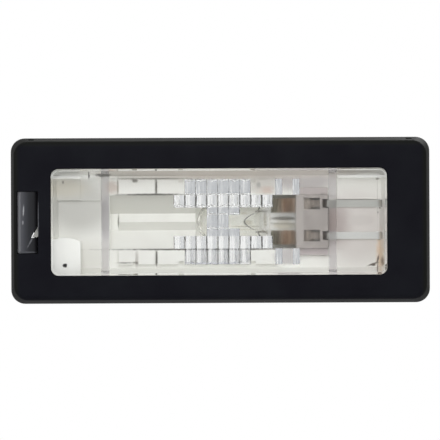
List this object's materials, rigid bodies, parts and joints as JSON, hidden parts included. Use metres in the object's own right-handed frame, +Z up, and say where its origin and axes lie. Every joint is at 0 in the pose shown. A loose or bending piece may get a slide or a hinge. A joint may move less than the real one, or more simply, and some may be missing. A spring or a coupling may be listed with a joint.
{
  "type": "number plate lamp",
  "caption": "Snap-in car number plate lamp: black rectangular bezel, clear fluted lens, off-white housing with a wedge-base bulb, spring latch and rear connector.",
  "frame": {"origin": "middle of the bezel's outline, on the plane of its rim that seats on the bodywork", "axes": "+Y into the bodywork, away from the lens; +X along the lamp towards the connector; +Z up as in the picture"},
  "size_m": [0.094, 0.0208, 0.0372],
  "materials": {
    "black_plastic": "satin moulded",
    "clear_acrylic": "clear, polished",
    "off_white_plastic": "fine moulded",
    "glossy_black_plastic": "glossy moulded",
    "lavender_plastic": "fine moulded",
    "copper_alloy": "stamped, dull",
    "bulb_glass": "clear",
    "tungsten": "drawn, coiled",
    "nickel_wire": "drawn"
  },
  "bodies": {
    "root": {"bezel": "black_plastic", "lens": "clear_acrylic", "housing": "off_white_plastic", "latch_spring": "glossy_black_plastic", "bulb_holder": "lavender_plastic", "upper_contact": "copper_alloy", "lower_contact": "copper_alloy", "bulb_envelope": "bulb_glass", "bulb_filament": "tungsten", "bulb_lead_wires": "nickel_wire"}
  },
  "joints": []
}
